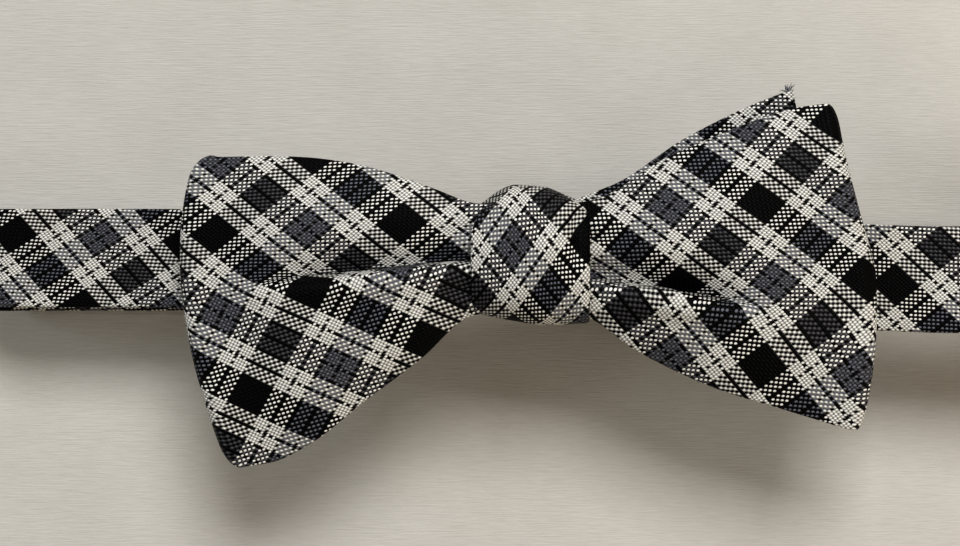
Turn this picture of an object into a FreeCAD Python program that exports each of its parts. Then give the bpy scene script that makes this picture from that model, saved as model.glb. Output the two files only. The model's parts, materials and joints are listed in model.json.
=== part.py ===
import FreeCAD, Part
import Sketcher

import math
import os

from FreeCAD import Placement, Rotation, Vector

# Ready-tied bow tie, lying on its back with the neckband curled under it. Millimetres.
# +X runs along the neckband, +Y is the top of the bow and +Z faces forward.
# The origin is at the middle of the part's box, on the surface that the band lies on.

doc = FreeCAD.newDocument("bow_tie")

DIMENSIONS = (
    # fabric: every strip is a tube of silk round a strip of interlining
    ("silk_thick", 0.25),
    ("band_thick", 1.0),
    ("bow_thick", 1.2),
    ("edge_turn", 0.4),
    # neckband, seen from its edge: a low loop whose back run lies on the surface
    ("band_width", 18.5),
    ("band_mid_y", 2.8),
    ("loop_end_x", 104.0),
    ("left_bend", 9.0),
    ("left_rise", 18.2),
    ("right_bend", 13.0),
    ("right_rise", 26.6),
    ("strap_lift", 1.2),
    ("ramp_foot_x", 72.0),
    ("ramp_top_x", 64.0),
    ("ramp_bend", 22.0),
    ("strap_split_x", 24.0),
    ("eye_tail", 12.0),
    ("slide_tail", 10.0),
    # hardware
    ("wire_radius", 0.45),
    ("wire_play", 0.08),
    ("plate_thick", 0.9),
    ("rail_gap", 0.4),
    ("rail_wide", 1.3),
    ("rail_heel", 0.7),
    ("eye_x", -26.0),
    ("eye_reach", 7.0),
    ("eye_far_bar", 1.7),
    ("hook_x", 6.0),
    ("hook_window", 3.4),
    ("hook_shoulder", 5.2),
    ("hook_neck", 8.4),
    ("hook_reach", 15.5),
    ("hook_tongue_wide", 8.0),
    ("slide_x", 34.0),
    ("slide_half", 6.4),
    ("slide_foot", 1.8),
    ("slide_crest", 1.5),
    ("metal_round", 0.2),
    ("hook_neck_ratio", 1.7),
    ("hook_floor_gap", 0.03),
    # bow, in its own frame: u along the band, v up the bow, w away from the wearer
    ("bow_mid_y", 4.0),
    ("waist_u", 10.8),
    ("waist_v", 9.2),
    ("edge_swell", 3.0),
    ("fold_bulge", 2.2),
    ("left_top_u", -60.0),
    ("left_top_v", 17.2),
    ("left_low_u", -52.8),
    ("left_low_v", -37.5),
    ("right_top_u", 54.2),
    ("right_top_v", 26.5),
    ("right_low_u", 58.8),
    ("right_low_v", -30.8),
    ("rear_left_top_u", -55.0),
    ("rear_left_top_v", 11.5),
    ("rear_left_low_u", -48.0),
    ("rear_left_low_v", -32.0),
    ("rear_right_top_u", 46.5),
    ("rear_right_top_v", 29.5),
    ("rear_right_low_u", 57.5),
    ("rear_right_low_v", -20.0),
    ("rear_back_w", 1.4),
    ("layer_gap", 0.1),
    ("loop_bend", 3.4),
    ("loop_waist_u", 12.0),
    ("loop_waist_w", 7.9),
    ("loop_crown_u", 40.0),
    ("loop_crown_w", 10.9),
    ("loop_soft_bend", 30.0),
    ("loop_slit", 0.5),
    ("loop_slit_long", 40.0),
    ("loop_slit_gap", 2.0),
    ("fold_stock", 100.0),
    ("outline_stock", 60.0),
    # knot
    ("knot_wide", 22.0),
    ("knot_top_v", 12.6),
    ("knot_low_v", -12.4),
    ("knot_front_w", 11.5),
    ("knot_front_bend", 5.5),
    ("knot_back_bend", 1.4),
    ("knot_play", 0.3),
    ("knot_slit", 0.6),
    # threads and label
    ("stitch_radius", 0.22),
    ("tack_stitch", 1.1),
    ("tack_pitch", 1.5),
    ("tack_count", 11),
    ("tack_row_gap", 2.8),
    ("tack_setback", 6.0),
    ("whip_stitch", 3.2),
    ("whip_pitch", 1.8),
    ("whip_count", 11),
    ("whip_lean", 12.0),
    ("join_stitch", 3.0),
    ("join_pitch", 1.9),
    ("join_count", 9),
    ("lash_thick", 0.5),
    ("lash_pitch", 0.75),
    ("lash_turns", 6),
    ("lash_play", 0.08),
    ("label_long", 28.0),
    ("label_wide", 13.0),
    ("label_thick", 0.25),
    ("label_mid_x", -66.0),
    ("label_seam", 1.2),
    ("label_stitch", 1.4),
    ("label_pitch", 2.0),
    ("label_count", 6),
)

sheet = doc.addObject("Spreadsheet::Sheet", "dimensions")
for row, (alias, value) in enumerate(DIMENSIONS, start=1):
    sheet.set(f"A{row}", str(value))
    sheet.setAlias(f"A{row}", alias)
doc.recompute()

SUB_PARTS = []


def size(alias):
    """A driving dimension, read from the spreadsheet."""
    return float(sheet.get(alias))


def keep(obj, node):
    """Marks a document object as the finished sub-part of that name."""
    obj.Label = node
    SUB_PARTS.append(obj)
    return obj


def bind(obj, **formulas):
    """Ties properties of an object to formulas on the spreadsheet's aliases."""
    for prop, formula in formulas.items():
        obj.setExpression(prop, formula)
    return obj


# ---------------------------------------------------------------- profiles of folded strips

XZ_PLANE = Placement(Vector(), Rotation(Vector(1, 0, 0), 90))
YZ_PLANE = Placement(
    Vector(), Rotation(Vector(0, 1, 0), Vector(0, 0, 1), Vector(1, 0, 0), "XYZ")
)
TINY = 1e-6


def rounded_path(corners):
    """Straight runs and tangent arcs through corners (p, q, radius); the end points have none."""
    points = [Vector(corner[0], corner[1], 0) for corner in corners]
    steps, here = [], points[0]
    for index in range(1, len(corners) - 1):
        corner, radius = points[index], corners[index][2]
        towards = (corner - points[index - 1]).normalize()
        away = (points[index + 1] - corner).normalize()
        side = 1 if towards.cross(away).z > 0 else -1
        cut_back = radius * math.tan(towards.getAngle(away) / 2)
        start, stop = corner - towards * cut_back, corner + away * cut_back
        centre = start + Vector(-towards.y, towards.x, 0) * (radius * side)
        if (start - here).Length > TINY:
            steps.append(("run", here, start))
        steps.append(("arc", start, stop, centre, radius, side))
        here = stop
    steps.append(("run", here, points[-1]))
    return steps


def beside(steps, offset):
    """The edges of a path moved sideways by offset, to its left where that is positive."""
    edges = []
    for step in steps:
        start, stop = step[1], step[2]
        if step[0] == "run":
            along = (stop - start).normalize()
            shift = Vector(-along.y, along.x, 0) * offset
            edges.append(Part.LineSegment(start + shift, stop + shift).toShape())
            continue
        centre, radius, side = step[3:]
        new_radius = radius - offset * side
        first, last = start - centre, stop - centre
        middle = (first + last).normalize() * new_radius
        scale = new_radius / radius
        arc = Part.Arc(centre + first * scale, centre + middle, centre + last * scale)
        edges.append(arc.toShape())
    return edges


def ribbon(corners, thickness, plane):
    """The long thin face of a folded strip, seen edge on, stood up in the given plane."""
    steps = rounded_path(corners)
    left, right = beside(steps, thickness / 2), beside(steps, -thickness / 2)
    first = Part.LineSegment(left[0].firstVertex(True).Point, right[0].firstVertex(True).Point)
    last = Part.LineSegment(left[-1].lastVertex(True).Point, right[-1].lastVertex(True).Point)
    edges = left + right + [first.toShape(), last.toShape()]
    face = Part.Face(Part.Wire(Part.__sortEdges__(edges)))
    face.transformShape(plane.toMatrix())
    return face


def outline(points):
    """A flat face in the bow's own frame. A point (u, v, swell) bows the edge that leaves it."""
    edges = []
    for index, (u, v, swell) in enumerate(points):
        next_u, next_v = points[(index + 1) % len(points)][:2]
        start, stop = Vector(u, v, 0), Vector(next_u, next_v, 0)
        if swell == 0:
            edges.append(Part.LineSegment(start, stop).toShape())
            continue
        along = (stop - start).normalize()
        middle = (start + stop) / 2 + Vector(-along.y, along.x, 0) * swell
        edges.append(Part.Arc(start, middle, stop).toShape())
    return Part.Face(Part.Wire(edges))


def profile(name, face):
    """A face kept in the document as the base of an extrusion."""
    obj = doc.addObject("Part::Feature", name)
    obj.Shape = face
    return obj


def extruded(name, base, direction, length, place=Placement()):
    """A profile pushed out along a direction, half of the length formula each way."""
    obj = doc.addObject("Part::Extrusion", name)
    obj.Base = base
    obj.DirMode = "Custom"
    obj.Dir = direction
    obj.Solid = True
    obj.Symmetric = True
    obj.Placement = place
    return bind(obj, LengthFwd=length)


def combined(kind, name, base, tool):
    """A Part::Cut, Part::Fuse or Part::Common of two objects."""
    obj = doc.addObject(f"Part::{kind}", name)
    obj.Base, obj.Tool = base, tool
    return obj


def block(name, corner, place=Placement(), **lengths):
    """A box whose lengths are formulas, with its lowest corner at the given point."""
    obj = doc.addObject("Part::Box", name)
    obj.Placement = place.multiply(Placement(corner, Rotation()))
    return bind(obj, **lengths)


# ---------------------------------------------------------------- levels that follow

half_band = size("band_thick") / 2
fold = size("wire_radius") + size("wire_play") + half_band
back_z = half_band
lifted_z = back_z + size("strap_lift")
end_x = size("loop_end_x") - half_band
left_z = back_z + size("left_rise")
right_z = back_z + size("right_rise")
tilt = math.degrees(math.atan2(right_z - left_z, 2 * end_x))
across_band = size("band_width") / 2 + size("rail_gap")
across_metal = across_band + size("rail_wide")
BAND_MID = Placement(Vector(0, size("band_mid_y"), 0), Rotation())
BOW = Placement(
    Vector(0, size("bow_mid_y"), (left_z + right_z) / 2), Rotation(Vector(0, 1, 0), -tilt)
)


# ---------------------------------------------------------------- strips of silk with interlining


def filled_strip(node, corners, thickness, width, plane, direction, place):
    """A tube of silk round its interlining, both of them one folded strip, as two sub-parts."""
    core_thick = thickness - 2 * size("silk_thick")
    outer = profile(node + "_profile", ribbon(corners, thickness, plane))
    inner = profile(node + "_core_profile", ribbon(corners, core_thick, plane))
    tube = extruded(node + "_tube", outer, direction, width, place)
    core_width = f"{width} - 2 * dimensions.edge_turn"
    core = extruded(node + "_core", inner, direction, core_width, place)
    keep(combined("Cut", node, tube, core), node + "_shell")
    keep(core, node + "_interlining")


def neckband():
    """The strap from the eye round both ends of the loop to the adjustable end."""
    eye_x, fold_x = size("eye_x"), size("eye_x") + fold
    corners = [
        (eye_x - size("eye_tail"), back_z + 2 * fold),
        (fold_x, back_z + 2 * fold, fold),
        (fold_x, back_z, fold),
        (-end_x, back_z, size("left_bend")),
        (-end_x, left_z, size("left_bend")),
        (end_x, right_z, size("right_bend")),
        (end_x, back_z, size("right_bend")),
        (size("ramp_foot_x"), back_z, size("ramp_bend")),
        (size("ramp_top_x"), lifted_z, size("ramp_bend")),
        (size("strap_split_x"), lifted_z),
    ]
    width = "dimensions.band_width"
    filled_strip(
        "neckband", corners, size("band_thick"), width, XZ_PLANE, Vector(0, 1, 0), BAND_MID
    )


def strap_loop():
    """The adjustable end: round the hook's bar, back over itself and round the slide's bar."""
    hook_x, slide_x = size("hook_x") - fold, size("slide_x") + fold
    levels = [lifted_z + 2 * fold * step for step in range(3)]
    corners = [
        (size("strap_split_x"), levels[0]),
        (hook_x, levels[0], fold),
        (hook_x, levels[1], fold),
        (slide_x, levels[1], fold),
        (slide_x, levels[2], fold),
        (size("slide_x") - size("slide_tail"), levels[2]),
    ]
    width = "dimensions.band_width"
    filled_strip(
        "strap_loop", corners, size("band_thick"), width, XZ_PLANE, Vector(0, 1, 0), BAND_MID
    )


# ---------------------------------------------------------------- hardware

RECTANGLE = ((-1, -1), (1, -1), (1, 1), (-1, 1))


def rectangle(body, label, low_x, high_x, full_y):
    """A sketch of a rectangle, symmetric about the body's X axis, bound to three formulas."""
    sketch = body.newObject("Sketcher::SketchObject", label)
    plane = [f for f in body.Origin.OriginFeatures if f.Role == "XY_Plane"][0]
    sketch.AttachmentSupport = [(plane, "")]
    sketch.MapMode = "FlatFace"
    corners = [Vector(x, y, 0) for x, y in RECTANGLE]
    for index in range(4):
        sketch.addGeometry(Part.LineSegment(corners[index], corners[(index + 1) % 4]))
    for index in range(4):
        sketch.addConstraint(Sketcher.Constraint("Coincident", index, 2, (index + 1) % 4, 1))
    for index, kind in ((0, "Horizontal"), (2, "Horizontal"), (1, "Vertical")):
        sketch.addConstraint(Sketcher.Constraint(kind, index))
    sketch.addConstraint(Sketcher.Constraint("Symmetric", 0, 1, 3, 1, -1))
    distances = (
        ("DistanceX", (-1, 1, 0, 1), -1.0, low_x),
        ("DistanceX", (-1, 1, 1, 1), 1.0, high_x),
        ("DistanceY", (0, 1, 3, 1), 2.0, full_y),
    )
    for kind, ends, start_value, formula in distances:
        number = sketch.addConstraint(Sketcher.Constraint(kind, *ends, start_value))
        sketch.setExpression(f"Constraints[{number}]", formula)
    return sketch


def sketched(body, kind, label, sketch, length):
    """A Pad or Pocket of a sketch, half of its length to each side of the plane."""
    feature = body.newObject(f"PartDesign::{kind}", label)
    feature.Profile = sketch
    feature.Midplane = True
    return bind(feature, Length=length)


def rounded(body, base, radius):
    """Takes the sharpness off every edge of a stamped plate."""
    feature = body.newObject("PartDesign::Fillet", "rounding")
    feature.Base = (base, ["Edge1"])
    feature.UseAllEdges = True
    bind(feature, Radius=radius)
    body.Tip = feature


def bar_across(name, place, length):
    """A round wire bar along Y, centred on the origin of its placement."""
    bar = doc.addObject("Part::Cylinder", name)
    bind(bar, Radius="dimensions.wire_radius", Height=length)
    half = Placement(Vector(0, across_metal, 0), Rotation(Vector(1, 0, 0), 90))
    bar.Placement = place.multiply(half)
    return bar


METAL_WIDE = "dimensions.band_width + 2 * (dimensions.rail_gap + dimensions.rail_wide)"
WINDOW_WIDE = "dimensions.band_width + 2 * dimensions.rail_gap"


def eye():
    """A flat ring on the fixed end of the band; its round bar turns in the fold of the strap."""
    body = doc.addObject("PartDesign::Body", "eye_plate")
    heel, reach = "-dimensions.rail_heel", "dimensions.eye_reach"
    blank = rectangle(body, "eye_blank", heel, reach, METAL_WIDE)
    sketched(body, "Pad", "eye_pad", blank, "dimensions.plate_thick")
    far = "dimensions.eye_reach - dimensions.eye_far_bar"
    window = rectangle(body, "eye_window", heel + " - 1", far, WINDOW_WIDE)
    pocket = sketched(body, "Pocket", "eye_pocket", window, "4 * dimensions.plate_thick")
    doc.recompute()
    rounded(body, pocket, "dimensions.metal_round")
    bar_z = back_z + fold
    drop = math.degrees(math.asin((bar_z - size("plate_thick") / 2) / size("eye_reach")))
    place = Placement(
        Vector(size("eye_x"), size("band_mid_y"), bar_z), Rotation(Vector(0, 1, 0), drop)
    )
    body.Placement = place
    keep(combined("Fuse", "eye_ring", body, bar_across("eye_bar", place, METAL_WIDE)), "eye")


def hook():
    """A stamped hook that turns in the fold of the adjustable end, its lip on the surface."""
    bar_z = lifted_z + fold
    place = Placement(
        Vector(size("hook_x"), size("band_mid_y"), bar_z), Rotation(Vector(0, 0, 1), 180)
    )
    body = doc.addObject("PartDesign::Body", "hook_plate")
    heel, shoulder = "-dimensions.rail_heel", "dimensions.hook_shoulder"
    blank = rectangle(body, "hook_blank", heel, shoulder, METAL_WIDE)
    sketched(body, "Pad", "hook_pad", blank, "dimensions.plate_thick")
    window = rectangle(body, "hook_opening", heel + " - 1", "dimensions.hook_window", WINDOW_WIDE)
    sketched(body, "Pocket", "hook_pocket", window, "4 * dimensions.plate_thick")
    neck = rectangle(
        body, "hook_neck_blank", "dimensions.hook_window + 0.4", "dimensions.hook_neck",
        "dimensions.hook_neck_ratio * dimensions.hook_tongue_wide",
    )
    sketched(body, "Pad", "hook_neck_pad", neck, "dimensions.plate_thick")
    tongue = rectangle(
        body, "hook_tongue", "dimensions.hook_shoulder", "dimensions.hook_reach",
        "dimensions.hook_tongue_wide",
    )
    pad = sketched(body, "Pad", "hook_tongue_pad", tongue, "dimensions.plate_thick")
    doc.recompute()
    rounded(body, pad, "dimensions.metal_round")
    body.Placement = place
    thick, wide = size("plate_thick"), size("hook_tongue_wide")
    floor_gap = size("hook_floor_gap")
    lip_corner = Vector(size("hook_reach") - thick, -wide / 2, floor_gap - bar_z)
    lip = block(
        "hook_lip", lip_corner, place,
        Length="dimensions.plate_thick", Width="dimensions.hook_tongue_wide",
        Height=f"{bar_z - floor_gap - size('metal_round')}",
    )
    arms = combined("Fuse", "hook_arms", body, bar_across("hook_bar", place, METAL_WIDE))
    keep(combined("Fuse", "hook_whole", arms, lip), "hook")


def slide():
    """A three-bar slide: two feet under the strap and a raised bar that holds the strap's end."""
    crest_z = lifted_z + 3 * fold
    half, crest, wire = size("slide_half"), size("slide_crest"), size("wire_radius")
    foot_z = size("plate_thick")
    side = [(-half, 0), (half, 0), (half, foot_z), (crest, crest_z + wire)]
    side += [(-crest, crest_z + wire), (-half, foot_z)]
    face = outline([(x, z, 0) for x, z in side])
    face.transformShape(XZ_PLANE.toMatrix())
    rail_profile = profile("slide_rail_profile", face)
    middle = Placement(Vector(size("slide_x"), size("band_mid_y"), 0), Rotation())
    pieces = []
    for name, sign in (("slide_rail_low", -1), ("slide_rail_high", 1)):
        shift = Placement(Vector(0, sign * (across_band + across_metal) / 2, 0), Rotation())
        place = middle.multiply(shift)
        rail = extruded(name, rail_profile, Vector(0, 1, 0), "dimensions.rail_wide", place)
        pieces.append(rail)
    for name, low_x in (("slide_foot_near", -half), ("slide_foot_far", half - size("slide_foot"))):
        foot = block(
            name, Vector(low_x, -across_metal, 0), middle,
            Length="dimensions.slide_foot", Width=METAL_WIDE, Height="dimensions.plate_thick",
        )
        pieces.append(foot)
    bar_place = middle.multiply(Placement(Vector(0, 0, crest_z), Rotation()))
    pieces.append(bar_across("slide_bar", bar_place, METAL_WIDE))
    whole = doc.addObject("Part::MultiFuse", "slide_whole")
    whole.Shapes = pieces
    keep(whole, "slide_adjuster")


# ---------------------------------------------------------------- bow


def mirrored(points):
    """The same outline points seen the other way round, so that a positive swell stays outward."""
    turned = [(u, v) for u, v, _ in reversed(points)]
    swells = [swell for _, _, swell in reversed(points)]
    return [(u, v, swells[(index + 1) % len(points)]) for index, (u, v) in enumerate(turned)]


def wing_outline(side, inset):
    """One wing's cut shape, out past its end fold, from the middle of the bow."""
    sign = 1 if side == "right" else -1
    top_u, top_v = size(f"{side}_top_u"), size(f"{side}_top_v") - inset
    low_u, low_v = size(f"{side}_low_u"), size(f"{side}_low_v") + inset
    waist_u, waist_v = sign * size("waist_u"), size("waist_v") - inset
    past = sign * (3 * size("fold_bulge"))
    swell = size("edge_swell")
    points = [
        (0, -waist_v, 0),
        (waist_u, -waist_v, -swell),
        (low_u, low_v, 0),
        (low_u + past, low_v, 0),
        (top_u + past, top_v, 0),
        (top_u, top_v, -swell),
        (waist_u, waist_v, 0),
        (0, waist_v, 0),
    ]
    return outline(points if side == "right" else mirrored(points))


def wing_half(side, name, thickness, inset):
    """Half of the folded loop of the bow: back layer, end fold and front layer, cut to shape."""
    sign = 1 if side == "right" else -1
    top_u, top_v = size(f"{side}_top_u"), size(f"{side}_top_v")
    low_u, low_v = size(f"{side}_low_u"), size(f"{side}_low_v")
    lean = (top_u - low_u) / (top_v - low_v)
    half_thick = size("bow_thick") / 2
    fold_u = sign * (abs(top_u - lean * top_v) + size("fold_bulge") - half_thick)
    back_w = size("rear_back_w") + size("bow_thick") + size("layer_gap") + half_thick
    bend, soft = size("loop_bend"), size("loop_soft_bend")
    past_middle = -sign * size("waist_u")
    corners = [
        (past_middle, back_w),
        (fold_u, back_w, bend),
        (fold_u, back_w + 2 * bend, bend),
        (sign * size("loop_crown_u"), size("loop_crown_w"), soft),
        (sign * size("loop_waist_u"), size("loop_waist_w"), soft),
        (past_middle, size("loop_waist_w")),
    ]
    folded = profile(name + "_profile", ribbon(corners, thickness, XZ_PLANE))
    along_fold = Vector(lean, 1, 0).normalize()
    strip = extruded(name + "_strip", folded, along_fold, "dimensions.fold_stock", BOW)
    cut = profile(name + "_outline", wing_outline(side, inset))
    cutter = extruded(name + "_cutter", cut, Vector(0, 0, 1), "dimensions.outline_stock", BOW)
    return combined("Common", name, strip, cutter)


def front_bow():
    """The folded loop that makes both front wings, its two ends meeting behind the knot."""
    core_thick = size("bow_thick") - 2 * size("silk_thick")
    layers = {}
    for layer, thickness, inset in (
        ("front", size("bow_thick"), 0),
        ("front_core", core_thick, size("edge_turn")),
    ):
        halves = [wing_half(side, f"{layer}_{side}", thickness, inset) for side in ("left", "right")]
        loop = combined("Fuse", f"{layer}_loop", *halves)
        slit = block(
            f"{layer}_slit", Vector(-size("loop_slit") / 2, -size("loop_slit_long") / 2, 0), BOW,
            Length="dimensions.loop_slit", Width="dimensions.loop_slit_long",
            Height="dimensions.loop_waist_w - dimensions.loop_slit_gap",
        )
        layers[layer] = combined("Cut", f"{layer}_open_loop", loop, slit)
    keep(combined("Cut", "front_silk", layers["front"], layers["front_core"]), "front_bow_shell")
    keep(layers["front_core"], "front_bow_interlining")


def rear_outline(inset):
    """The flat rear piece, a little turned against the front, so that one corner shows."""
    swell = size("edge_swell")
    waist_u, waist_v = size("waist_u"), size("waist_v") - inset
    corners = {}
    for side, sign in (("left", -1), ("right", 1)):
        for level, up in (("top", 1), ("low", -1)):
            name = f"rear_{side}_{level}"
            corners[side + level] = (size(name + "_u") - sign * inset, size(name + "_v") - up * inset)
    points = [
        (-waist_u, -waist_v, 0),
        (waist_u, -waist_v, -swell),
        (*corners["rightlow"], 0),
        (*corners["righttop"], -swell),
        (waist_u, waist_v, 0),
        (-waist_u, waist_v, -swell),
        (*corners["lefttop"], 0),
        (*corners["leftlow"], -swell),
    ]
    return outline(points)


def rear_bow():
    """The flat piece behind the loop: a turned tube of silk with its own interlining."""
    middle_w = size("rear_back_w") + size("bow_thick") / 2
    place = BOW.multiply(Placement(Vector(0, 0, middle_w), Rotation()))
    whole = profile("rear_outline", rear_outline(0))
    inner = profile("rear_core_outline", rear_outline(size("edge_turn")))
    up = Vector(0, 0, 1)
    outer = extruded("rear_whole", whole, up, "dimensions.bow_thick", place)
    core_thick = "dimensions.bow_thick - 2 * dimensions.silk_thick"
    core = extruded("rear_core", inner, up, core_thick, place)
    keep(combined("Cut", "rear_silk", outer, core), "rear_bow_shell")
    keep(core, "rear_bow_interlining")


def knot():
    """A strip wrapped round the waist of the bow and round the neckband, closed at the back."""
    half = size("bow_thick") / 2
    low_v, top_v = size("knot_low_v") + half, size("knot_top_v") - half
    front_w = size("knot_front_w") - half
    back_w = -half_band - size("knot_play") - half
    slit = size("knot_slit") / 2
    corners = [
        (-slit, back_w),
        (low_v, back_w, size("knot_back_bend")),
        (low_v, front_w, size("knot_front_bend")),
        (top_v, front_w, size("knot_front_bend")),
        (top_v, back_w, size("knot_back_bend")),
        (slit, back_w),
    ]
    width = "dimensions.knot_wide"
    filled_strip(
        "knot", corners, size("bow_thick"), width, YZ_PLANE, Vector(1, 0, 0), BOW
    )


# ---------------------------------------------------------------- threads and label


def thread_bar(length, place):
    """One stitch: a half-round bar along its own X axis, flat on the cloth."""
    radius = size("stitch_radius")
    ends = [Vector(-length / 2, -radius, 0), Vector(-length / 2, radius, 0)]
    top = Vector(-length / 2, 0, radius)
    edges = [Part.Arc(ends[0], top, ends[1]).toShape(), Part.LineSegment(ends[1], ends[0]).toShape()]
    bar = Part.Face(Part.Wire(edges)).extrude(Vector(length, 0, 0))
    return bar.transformed(place.toMatrix())


def stitches(node, length, places):
    """A group of separate stitches of one length, kept as one sub-part."""
    obj = doc.addObject("Part::Feature", node + "_threads")
    obj.Shape = Part.makeCompound([thread_bar(length, place) for place in places])
    keep(obj, node)


def spread(count, pitch):
    """Evenly spaced positions about zero."""
    return [(index - (count - 1) / 2) * pitch for index in range(int(count))]


def bar_tack(node, x, z):
    """Two rows of short stitches across the strap that close a fold of it."""
    places = []
    for row_x in spread(2, size("tack_row_gap")):
        for step in spread(size("tack_count"), size("tack_pitch")):
            position = Vector(x + row_x, size("band_mid_y") + step, z)
            places.append(Placement(position, Rotation(Vector(0, 0, 1), 90)))
    stitches(node, size("tack_stitch"), places)


def knot_closing_stitches():
    """Whip stitches over the slit at the back of the knot."""
    back_w = -half_band - size("knot_play") - size("bow_thick")
    places = []
    across_slit = Rotation(Vector(0, 0, 1), 90 - size("whip_lean"))
    lying = across_slit.multiply(Rotation(Vector(1, 0, 0), 180))
    for step in spread(size("whip_count"), size("whip_pitch")):
        places.append(BOW.multiply(Placement(Vector(step, 0, back_w), lying)))
    stitches("knot_closing_stitches", size("whip_stitch"), places)


def loop_end_stitches():
    """Stitches inside the loop that join its two ends behind the knot."""
    inside_w = size("rear_back_w") + 2 * size("bow_thick") + size("layer_gap")
    places = [
        BOW.multiply(Placement(Vector(0, step, inside_w), Rotation()))
        for step in spread(size("join_count"), size("join_pitch"))
    ]
    stitches("loop_end_stitches", size("join_stitch"), places)


def waist_lashing():
    """Turns of thread that hold the gathered waist of both bow pieces, under the knot."""
    half, play = size("lash_thick") / 2, size("lash_play")
    side_v = size("waist_v") + half + play
    back_w = size("rear_back_w") - half - play
    front_w = size("loop_waist_w") + size("bow_thick") / 2 + half + play
    corners = [
        (-0.1, back_w),
        (-side_v, back_w, half * 2),
        (-side_v, front_w, half * 2),
        (side_v, front_w, half * 2),
        (side_v, back_w, half * 2),
        (0.1, back_w),
    ]
    turn = ribbon(corners, size("lash_thick"), YZ_PLANE)
    turns = []
    for step in spread(size("lash_turns"), size("lash_pitch")):
        solid = turn.extrude(Vector(size("lash_thick"), 0, 0))
        shift = Placement(Vector(step - half, 0, 0), Rotation())
        turns.append(solid.transformed(BOW.multiply(shift).toMatrix()))
    obj = doc.addObject("Part::Feature", "lashing_turns")
    obj.Shape = Part.makeCompound(turns)
    keep(obj, "waist_lashing")


def care_label():
    """A blank woven label sewn to the inner face of the back run."""
    low_x = size("label_mid_x") - size("label_long") / 2
    low_y = size("band_mid_y") - size("label_wide") / 2
    label = block(
        "label_cloth", Vector(low_x, low_y, size("band_thick")),
        Length="dimensions.label_long", Width="dimensions.label_wide",
        Height="dimensions.label_thick",
    )
    keep(label, "care_label")
    top_z = size("band_thick") + size("label_thick")
    places = []
    for end in (-1, 1):
        x = size("label_mid_x") + end * (size("label_long") / 2 - size("label_seam"))
        for step in spread(size("label_count"), size("label_pitch")):
            position = Vector(x, size("band_mid_y") + step, top_z)
            places.append(Placement(position, Rotation(Vector(0, 0, 1), 90)))
    stitches("label_stitches", size("label_stitch"), places)


# ---------------------------------------------------------------- the whole part

neckband()
strap_loop()
eye()
hook()
slide()
rear_bow()
front_bow()
knot()
waist_lashing()
loop_end_stitches()
knot_closing_stitches()
setback = size("tack_setback")
bar_tack("eye_tack_stitches", size("eye_x") - setback, back_z + 2 * fold + half_band)
bar_tack("slide_tack_stitches", size("slide_x") - setback, lifted_z + 4 * fold + half_band)
care_label()
doc.recompute()

for obj in doc.Objects:
    if {"Invalid", "Error"} & set(obj.State):
        raise RuntimeError(f"{obj.Label} failed: {obj.State}")

os.makedirs("parts", exist_ok=True)
whole_box = FreeCAD.BoundBox()
for obj in SUB_PARTS:
    shape = obj.Shape
    if shape.isNull() or not shape.isValid() or not shape.Solids:
        raise RuntimeError(f"{obj.Label} has no valid solid")
    whole_box.add(shape.BoundBox)
    shape.exportStep(f"parts/{obj.Label}.step")
    print(f"{obj.Label}: {len(shape.Solids)} solids, {shape.Volume:.1f} mm3")
print(f"tilt of the front run {tilt:.3f} degrees, whole box {whole_box}")
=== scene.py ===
import json
import math

import bpy
import numpy as np
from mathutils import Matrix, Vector


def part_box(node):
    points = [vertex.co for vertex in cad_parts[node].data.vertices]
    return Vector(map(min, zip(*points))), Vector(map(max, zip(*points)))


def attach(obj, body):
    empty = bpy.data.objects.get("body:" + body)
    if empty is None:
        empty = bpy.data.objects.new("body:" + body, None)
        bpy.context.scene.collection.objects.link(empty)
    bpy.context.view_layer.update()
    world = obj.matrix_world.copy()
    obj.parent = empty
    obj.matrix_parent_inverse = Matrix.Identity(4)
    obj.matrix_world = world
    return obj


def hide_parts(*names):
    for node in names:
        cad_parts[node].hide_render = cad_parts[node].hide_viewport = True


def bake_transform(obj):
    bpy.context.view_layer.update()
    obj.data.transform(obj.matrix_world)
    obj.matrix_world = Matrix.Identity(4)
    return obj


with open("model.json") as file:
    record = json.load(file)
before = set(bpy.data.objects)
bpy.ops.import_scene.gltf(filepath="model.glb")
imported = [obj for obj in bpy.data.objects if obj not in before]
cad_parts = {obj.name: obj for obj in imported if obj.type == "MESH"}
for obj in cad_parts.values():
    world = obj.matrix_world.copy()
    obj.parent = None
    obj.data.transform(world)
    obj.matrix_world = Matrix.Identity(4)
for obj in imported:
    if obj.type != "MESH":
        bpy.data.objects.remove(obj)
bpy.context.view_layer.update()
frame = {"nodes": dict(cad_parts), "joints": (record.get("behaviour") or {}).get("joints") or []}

# A plaid bow tie lying face up, with its neckband curled into a low loop under it.
# Shapes are worked out in millimetres. The bow has its own frame: u along the neckband's front
# run, v towards the bow's upper edge and w out of its front.

MM = 0.001
SILK = "plaid_silk"
CANVAS = "interlining"


def low(node):
    return np.array(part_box(node)[0]) / MM


def high(node):
    return np.array(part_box(node)[1]) / MM


RUN_AXIS = next(j for j in frame["joints"] if j["name"] == "bow_slide")["axis"]
TILT = math.atan2(RUN_AXIS[2], RUN_AXIS[0])
BAND_THICK = 1.0
CLOTH_THICK = 1.2
CANVAS_SHARE = 0.58  # of its strip's thickness
CANVAS_MARGIN = 1.5  # how much narrower and shorter than its silk an interlining is cut
BOW_Y = 4.0
RUN_MIDDLE_Z = 22.9
BAND_Y = (low("neckband_shell")[1] + high("neckband_shell")[1]) / 2
BAND_WIDE = high("neckband_shell")[1] - low("neckband_shell")[1]


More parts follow.
